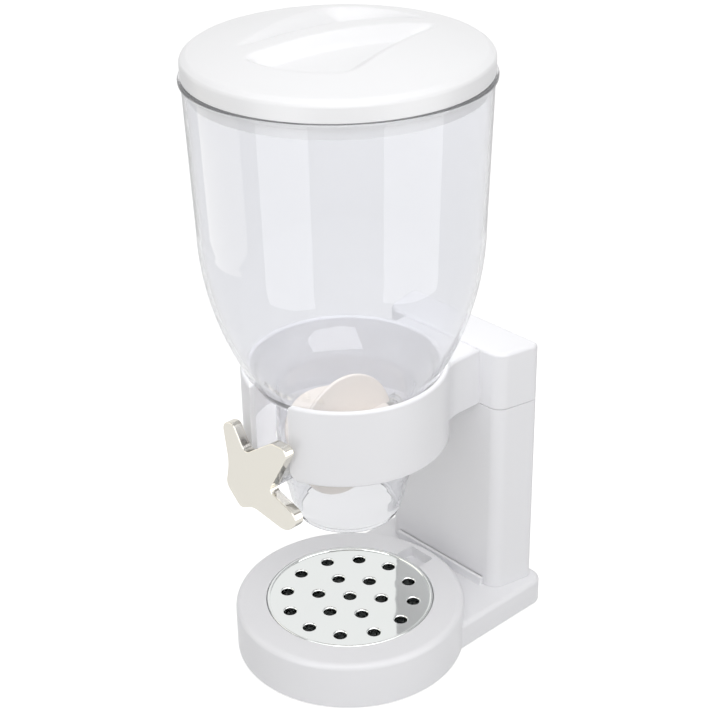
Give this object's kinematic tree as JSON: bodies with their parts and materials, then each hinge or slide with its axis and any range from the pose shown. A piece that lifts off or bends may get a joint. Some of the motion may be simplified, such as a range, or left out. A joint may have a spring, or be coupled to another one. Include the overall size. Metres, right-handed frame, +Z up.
{
  "type": "cereal dispenser",
  "caption": "Countertop dry-food dispenser: clear lift-out hopper in a collar on a column, knob-turned paddle, lift-off lid and perforated drip tray.",
  "frame": {"origin": "middle of the bounding box of the whole dispenser at table level", "axes": "+Z up, -Y towards the knob and the drip tray, +Y towards the column, X across the width"},
  "size_m": [0.17, 0.202, 0.395],
  "materials": {
    "white_plastic": "gloss white moulded plastic",
    "lid_plastic": "satin white moulded plastic",
    "clear_plastic": "crystal clear moulded plastic",
    "chrome_plate": "bright plated",
    "knob_chrome": "bright plated plastic",
    "blade_silicone": "translucent cream silicone",
    "gasket_silicone": "translucent silicone",
    "foot_rubber": "matte rubber",
    "bush_nylon": "natural nylon",
    "screw_steel": "zinc plated steel"
  },
  "bodies": {
    "stand": {"base_shell": "white_plastic", "rubber_feet": "foot_rubber", "column_shell": "white_plastic", "column_back_cover": "white_plastic", "column_cap": "white_plastic", "collar": "white_plastic", "column_screws": "screw_steel", "cap_screws": "screw_steel", "collar_screws": "screw_steel", "cover_screws": "screw_steel"},
    "hopper_unit": {"hopper": "clear_plastic", "outlet_spout": "clear_plastic", "front_bush": "bush_nylon", "rear_bush": "bush_nylon"},
    "lid": {"lid_shell": "lid_plastic", "lid_plug": "lid_plastic", "lid_gasket": "gasket_silicone"},
    "rotor": {"axle": "screw_steel", "axle_clip": "screw_steel", "paddle_hub": "bush_nylon", "paddle_blades": "blade_silicone", "knob_shell": "knob_chrome", "knob_hub": "bush_nylon", "knob_pin": "screw_steel"},
    "tray": {"drip_tray": "chrome_plate"}
  },
  "joints": [
    {"name": "hopper_lift", "type": "slide", "parent": "stand", "child": "hopper_unit", "axis": [0, 0, 1], "range_m": [0, 0.12]},
    {"name": "lid_lift", "type": "slide", "parent": "hopper_unit", "child": "lid", "axis": [0, 0, 1], "range_m": [0, 0.06]},
    {"name": "paddle_turn", "type": "hinge", "parent": "hopper_unit", "child": "rotor", "pos_m": [0, -0.016, 0.148], "axis": [0, -1, 0], "continuous": true},
    {"name": "tray_lift", "type": "slide", "parent": "stand", "child": "tray", "axis": [0, 0, 1], "range_m": [0, 0.04]}
  ]
}
